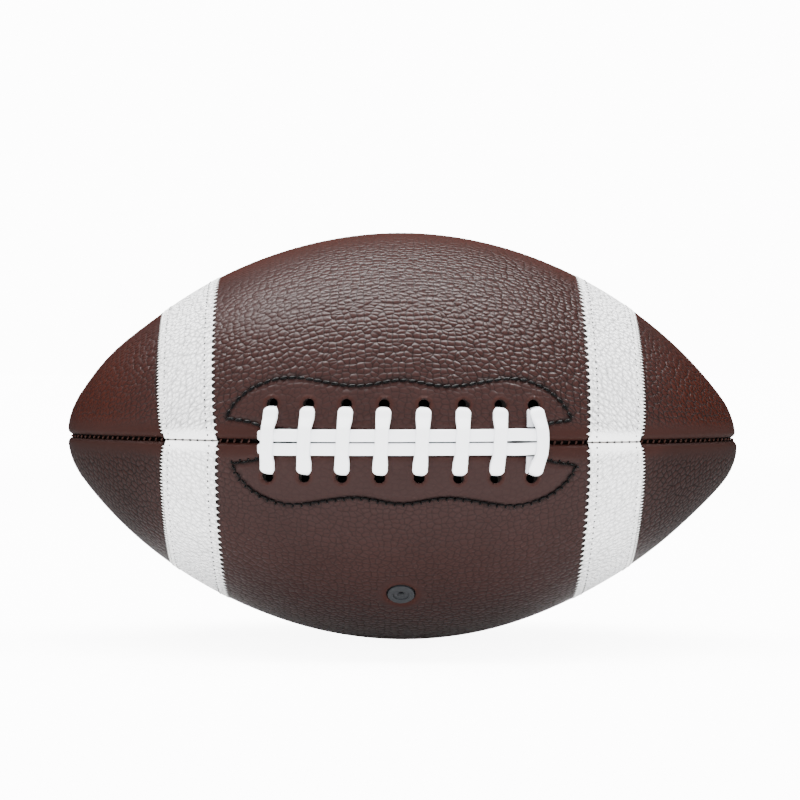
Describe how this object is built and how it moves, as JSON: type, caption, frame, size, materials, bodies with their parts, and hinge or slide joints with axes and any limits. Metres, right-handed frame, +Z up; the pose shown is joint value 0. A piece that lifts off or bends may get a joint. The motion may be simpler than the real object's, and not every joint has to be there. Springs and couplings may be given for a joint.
{
  "type": "american football",
  "caption": "American football in dark brown pebbled leather with white bands, white lacing along the front seam and a rubber valve.",
  "frame": {"origin": "middle of the ball, on the long axis half way between the noses", "axes": "+X along the long axis to the right when facing the laced seam, -Y out through the laced seam, +Z up"},
  "size_m": [0.2808, 0.1757, 0.1706],
  "materials": {
    "leather": "pebbled dark brown leather, satin",
    "lining": "plain woven cotton",
    "patch": "dense black webbing",
    "tongue": "smooth dark leather",
    "stripe": "pebbled white composite leather",
    "stripe_thread": "white sewing thread",
    "lace": "smooth satin white lace",
    "bladder": "matte rubber",
    "valve": "matte moulded rubber",
    "seam_thread": "dark brown waxed thread",
    "patch_thread": "black twisted thread"
  },
  "bodies": {
    "root": {"bladder": "bladder", "lace_crossbars": "lace", "lace_patch_lower": "patch", "lace_patch_upper": "patch", "lace_strands": "lace", "lace_tongue": "tongue", "lining_front_lower": "lining", "lining_front_upper": "lining", "lining_rear_lower": "lining", "lining_rear_upper": "lining", "panel_front_lower": "leather", "panel_front_upper": "leather", "panel_rear_lower": "leather", "panel_rear_upper": "leather", "patch_thread_lower": "patch_thread", "patch_thread_upper": "patch_thread", "seam_thread_bottom": "seam_thread", "seam_thread_front_left": "seam_thread", "seam_thread_front_right": "seam_thread", "seam_thread_rear": "seam_thread", "seam_thread_top": "seam_thread", "stripe_left_lower": "stripe", "stripe_left_upper": "stripe", "stripe_right_lower": "stripe", "stripe_right_upper": "stripe", "stripe_thread_left_lower_inner": "stripe_thread", "stripe_thread_left_lower_outer": "stripe_thread", "stripe_thread_left_upper_inner": "stripe_thread", "stripe_thread_left_upper_outer": "stripe_thread", "stripe_thread_right_lower_inner": "stripe_thread", "stripe_thread_right_lower_outer": "stripe_thread", "stripe_thread_right_upper_inner": "stripe_thread", "stripe_thread_right_upper_outer": "stripe_thread", "valve_body": "valve", "valve_plug": "valve"}
  },
  "joints": []
}
